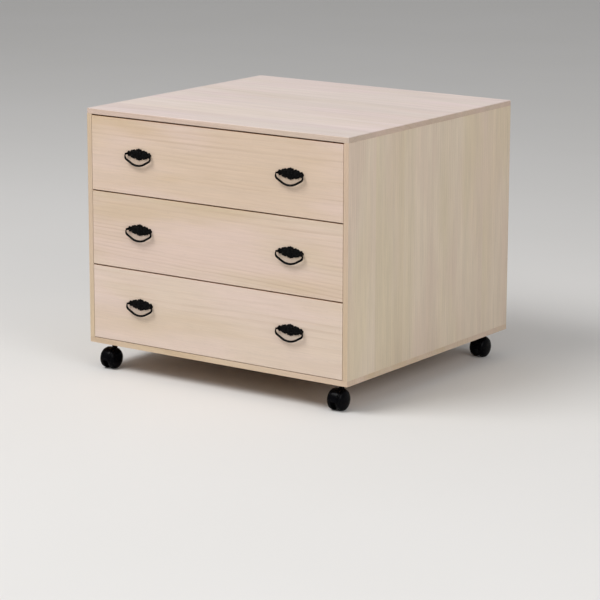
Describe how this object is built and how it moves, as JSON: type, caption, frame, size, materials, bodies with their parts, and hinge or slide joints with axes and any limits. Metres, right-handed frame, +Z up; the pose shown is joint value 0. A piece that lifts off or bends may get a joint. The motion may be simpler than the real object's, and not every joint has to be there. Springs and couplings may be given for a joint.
{
  "type": "chest of drawers",
  "caption": "Low pale-wood chest with inset drawers, cast bail pulls that swing and twin-wheel ball casters that swivel and roll.",
  "frame": {"origin": "on the floor, under the middle of the whole chest with its pulls hanging", "axes": "+X to the right along the front, -Y out of the drawer fronts, +Z up"},
  "size_m": [0.75, 0.7096, 0.635],
  "materials": {
    "kiri_board": "bare planed paulownia, matt",
    "kiri_inner": "bare sawn paulownia, matt",
    "black_iron": "black, satin",
    "black_nylon": "moulded, semi-gloss",
    "zinc_steel": "zinc plated"
  },
  "bodies": {
    "carcass": {"top_panel": "kiri_board", "bottom_panel": "kiri_board", "left_side_panel": "kiri_board", "right_side_panel": "kiri_board", "back_panel": "kiri_inner", "middle_front_rail": "kiri_inner", "upper_front_rail": "kiri_inner", "lower_runners": "kiri_inner", "middle_runners": "kiri_inner", "upper_runners": "kiri_inner", "caster_stems": "zinc_steel", "caster_nuts": "zinc_steel"},
    "lower_drawer": {"lower_drawer_front": "kiri_board", "lower_drawer_left_side": "kiri_inner", "lower_drawer_right_side": "kiri_inner", "lower_drawer_back": "kiri_inner", "lower_drawer_floor": "kiri_inner", "lower_pull_plates": "black_iron", "lower_pull_screws": "zinc_steel"},
    "lower_left_bail": {"lower_left_bail": "black_iron"},
    "lower_right_bail": {"lower_right_bail": "black_iron"},
    "middle_drawer": {"middle_drawer_front": "kiri_board", "middle_drawer_left_side": "kiri_inner", "middle_drawer_right_side": "kiri_inner", "middle_drawer_back": "kiri_inner", "middle_drawer_floor": "kiri_inner", "middle_pull_plates": "black_iron", "middle_pull_screws": "zinc_steel"},
    "middle_left_bail": {"middle_left_bail": "black_iron"},
    "middle_right_bail": {"middle_right_bail": "black_iron"},
    "upper_drawer": {"upper_drawer_front": "kiri_board", "upper_drawer_left_side": "kiri_inner", "upper_drawer_right_side": "kiri_inner", "upper_drawer_back": "kiri_inner", "upper_drawer_floor": "kiri_inner", "upper_pull_plates": "black_iron", "upper_pull_screws": "zinc_steel"},
    "upper_left_bail": {"upper_left_bail": "black_iron"},
    "upper_right_bail": {"upper_right_bail": "black_iron"},
    "front_left_caster": {"front_left_caster_hood": "black_nylon", "front_left_caster_axle": "zinc_steel"},
    "front_left_caster_left_wheel": {"front_left_caster_left_wheel": "black_nylon"},
    "front_left_caster_right_wheel": {"front_left_caster_right_wheel": "black_nylon"},
    "front_right_caster": {"front_right_caster_hood": "black_nylon", "front_right_caster_axle": "zinc_steel"},
    "front_right_caster_left_wheel": {"front_right_caster_left_wheel": "black_nylon"},
    "front_right_caster_right_wheel": {"front_right_caster_right_wheel": "black_nylon"},
    "rear_left_caster": {"rear_left_caster_hood": "black_nylon", "rear_left_caster_axle": "zinc_steel"},
    "rear_left_caster_left_wheel": {"rear_left_caster_left_wheel": "black_nylon"},
    "rear_left_caster_right_wheel": {"rear_left_caster_right_wheel": "black_nylon"},
    "rear_right_caster": {"rear_right_caster_hood": "black_nylon", "rear_right_caster_axle": "zinc_steel"},
    "rear_right_caster_left_wheel": {"rear_right_caster_left_wheel": "black_nylon"},
    "rear_right_caster_right_wheel": {"rear_right_caster_right_wheel": "black_nylon"}
  },
  "joints": [
    {"name": "lower_drawer_slide", "type": "slide", "parent": "carcass", "child": "lower_drawer", "axis": [0, -1, 0], "range_m": [0, 0.52]},
    {"name": "lower_left_bail_lift", "type": "hinge", "parent": "lower_drawer", "child": "lower_left_bail", "pos_m": [-0.218, -0.3517, 0.17683], "axis": [-1, 0, 0], "range_deg": [-8, 100]},
    {"name": "lower_right_bail_lift", "type": "hinge", "parent": "lower_drawer", "child": "lower_right_bail", "pos_m": [0.218, -0.3517, 0.17683], "axis": [-1, 0, 0], "range_deg": [-8, 100]},
    {"name": "middle_drawer_slide", "type": "slide", "parent": "carcass", "child": "middle_drawer", "axis": [0, -1, 0], "range_m": [0, 0.52]},
    {"name": "middle_left_bail_lift", "type": "hinge", "parent": "middle_drawer", "child": "middle_left_bail", "pos_m": [-0.218, -0.3517, 0.3575], "axis": [-1, 0, 0], "range_deg": [-8, 100]},
    {"name": "middle_right_bail_lift", "type": "hinge", "parent": "middle_drawer", "child": "middle_right_bail", "pos_m": [0.218, -0.3517, 0.3575], "axis": [-1, 0, 0], "range_deg": [-8, 100]},
    {"name": "upper_drawer_slide", "type": "slide", "parent": "carcass", "child": "upper_drawer", "axis": [0, -1, 0], "range_m": [0, 0.52]},
    {"name": "upper_left_bail_lift", "type": "hinge", "parent": "upper_drawer", "child": "upper_left_bail", "pos_m": [-0.218, -0.3517, 0.53817], "axis": [-1, 0, 0], "range_deg": [-8, 100]},
    {"name": "upper_right_bail_lift", "type": "hinge", "parent": "upper_drawer", "child": "upper_right_bail", "pos_m": [0.218, -0.3517, 0.53817], "axis": [-1, 0, 0], "range_deg": [-8, 100]},
    {"name": "front_left_caster_swivel", "type": "hinge", "parent": "carcass", "child": "front_left_caster", "pos_m": [-0.333, -0.3052, 0.058], "axis": [0, 0, 1], "continuous": true},
    {"name": "front_left_caster_left_wheel_roll", "type": "hinge", "parent": "front_left_caster", "child": "front_left_caster_left_wheel", "pos_m": [-0.333, -0.3172, 0.025], "axis": [1, 0, 0], "continuous": true},
    {"name": "front_left_caster_right_wheel_roll", "type": "hinge", "parent": "front_left_caster", "child": "front_left_caster_right_wheel", "pos_m": [-0.333, -0.3172, 0.025], "axis": [1, 0, 0], "continuous": true},
    {"name": "front_right_caster_swivel", "type": "hinge", "parent": "carcass", "child": "front_right_caster", "pos_m": [0.333, -0.3052, 0.058], "axis": [0, 0, 1], "continuous": true},
    {"name": "front_right_caster_left_wheel_roll", "type": "hinge", "parent": "front_right_caster", "child": "front_right_caster_left_wheel", "pos_m": [0.333, -0.3172, 0.025], "axis": [1, 0, 0], "continuous": true},
    {"name": "front_right_caster_right_wheel_roll", "type": "hinge", "parent": "front_right_caster", "child": "front_right_caster_right_wheel", "pos_m": [0.333, -0.3172, 0.025], "axis": [1, 0, 0], "continuous": true},
    {"name": "rear_left_caster_swivel", "type": "hinge", "parent": "carcass", "child": "rear_left_caster", "pos_m": [-0.333, 0.3148, 0.058], "axis": [0, 0, 1], "continuous": true},
    {"name": "rear_left_caster_left_wheel_roll", "type": "hinge", "parent": "rear_left_caster", "child": "rear_left_caster_left_wheel", "pos_m": [-0.333, 0.3028, 0.025], "axis": [1, 0, 0], "continuous": true},
    {"name": "rear_left_caster_right_wheel_roll", "type": "hinge", "parent": "rear_left_caster", "child": "rear_left_caster_right_wheel", "pos_m": [-0.333, 0.3028, 0.025], "axis": [1, 0, 0], "continuous": true},
    {"name": "rear_right_caster_swivel", "type": "hinge", "parent": "carcass", "child": "rear_right_caster", "pos_m": [0.333, 0.3148, 0.058], "axis": [0, 0, 1], "continuous": true},
    {"name": "rear_right_caster_left_wheel_roll", "type": "hinge", "parent": "rear_right_caster", "child": "rear_right_caster_left_wheel", "pos_m": [0.333, 0.3028, 0.025], "axis": [1, 0, 0], "continuous": true},
    {"name": "rear_right_caster_right_wheel_roll", "type": "hinge", "parent": "rear_right_caster", "child": "rear_right_caster_right_wheel", "pos_m": [0.333, 0.3028, 0.025], "axis": [1, 0, 0], "continuous": true}
  ]
}
